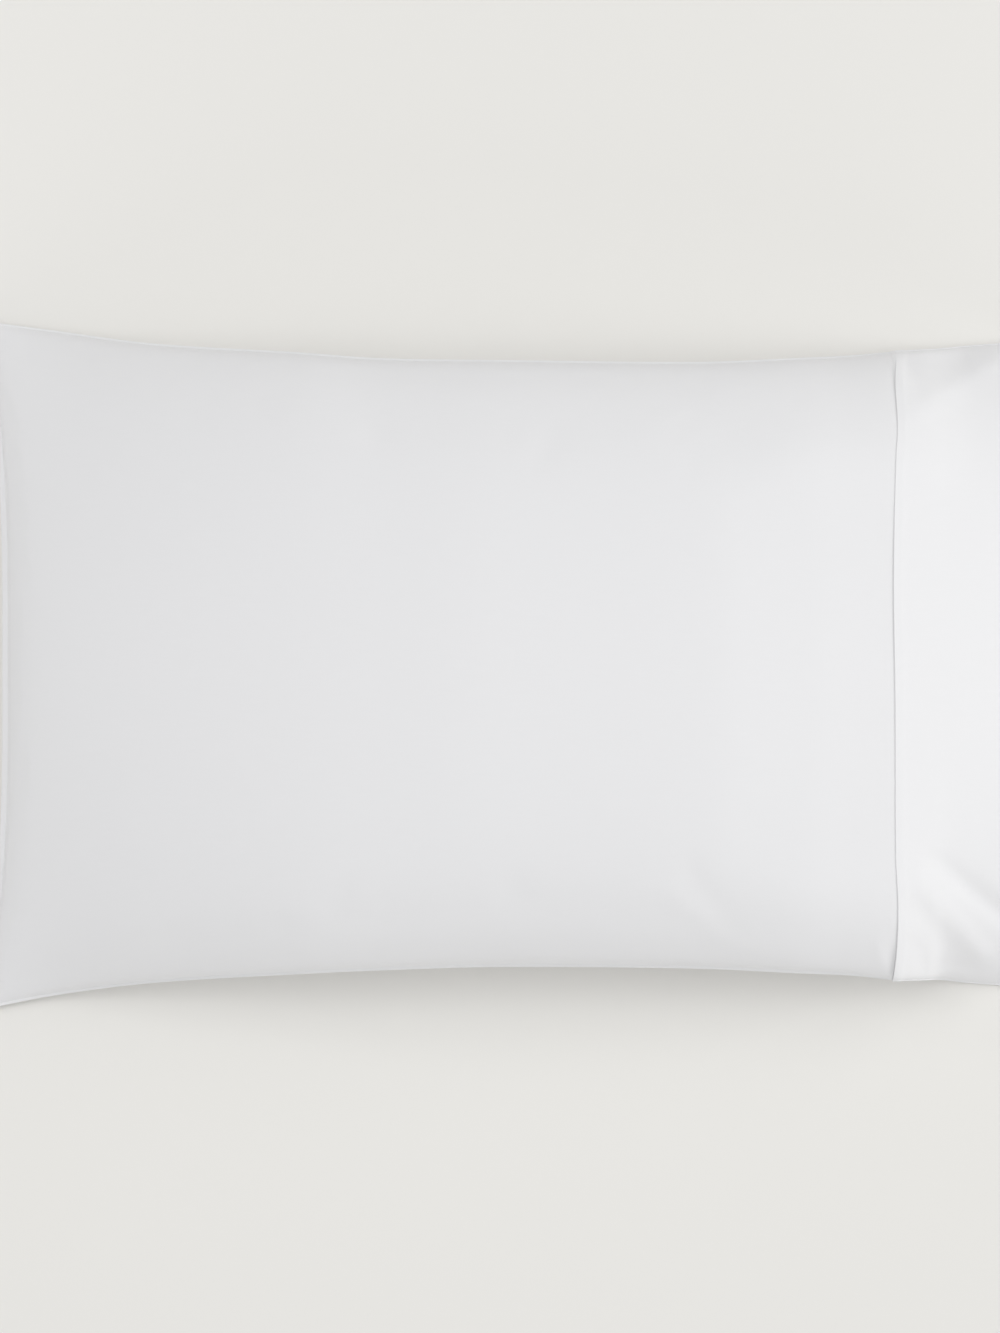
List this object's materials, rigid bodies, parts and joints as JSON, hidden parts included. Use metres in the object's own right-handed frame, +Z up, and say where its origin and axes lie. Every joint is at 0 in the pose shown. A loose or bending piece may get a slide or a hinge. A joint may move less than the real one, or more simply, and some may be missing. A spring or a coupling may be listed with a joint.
{
  "type": "pillowcase",
  "caption": "Standard white pillowcase, filled and lying flat: a plump body bag with drawn-in sides and pointed corners, and a plain doubled cuff round its open mouth.",
  "frame": {"origin": "middle of the rectangle the case covers, on the surface it lies on", "axes": "+X from the sewn closed end to the open mouth, +Y to the back side edge, +Z up"},
  "size_m": [0.749, 0.4954, 0.1512],
  "materials": {
    "body_cloth": "smooth white cotton percale, matt with a faint sheen",
    "cuff_cloth": "the same white cotton percale, doubled, with a stitched fold at the seam"
  },
  "bodies": {
    "root": {"case_body": "body_cloth", "cuff": "cuff_cloth"}
  },
  "joints": []
}
